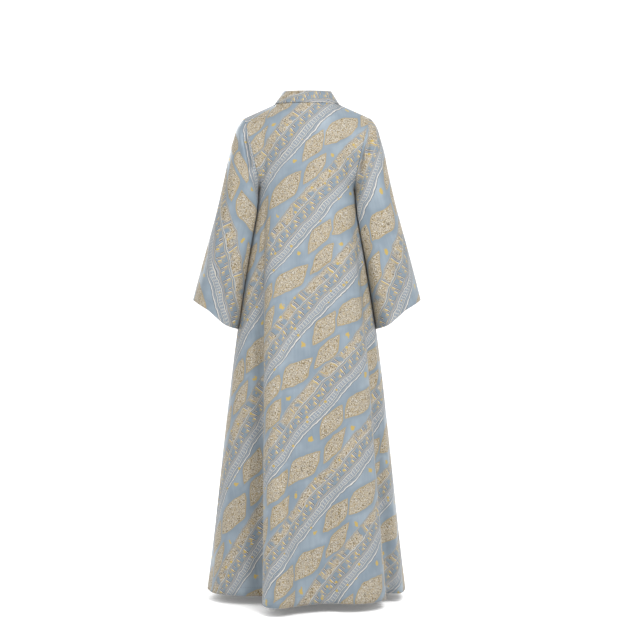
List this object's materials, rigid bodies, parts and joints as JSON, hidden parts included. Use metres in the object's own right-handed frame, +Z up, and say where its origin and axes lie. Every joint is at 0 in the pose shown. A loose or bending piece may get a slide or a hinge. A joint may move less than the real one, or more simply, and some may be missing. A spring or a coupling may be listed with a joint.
{
  "type": "kaftan",
  "caption": "Floor-length A-line kaftan in woven brocade with a stand collar and long flared sleeves, hollow and held in its worn shape.",
  "frame": {"origin": "middle of the neck base, level with the high shoulder points, where the wearer's shoulders hold the garment", "axes": "+Z up, the front of the garment faces -Y, and the wearer's left is +X"},
  "size_m": [0.67, 0.608, 1.4589],
  "materials": {
    "brocade": "satin ground with matt woven figures"
  },
  "bodies": {
    "root": {"back": "brocade", "front": "brocade", "sleeve_left": "brocade", "sleeve_right": "brocade", "collar": "brocade"}
  },
  "joints": []
}
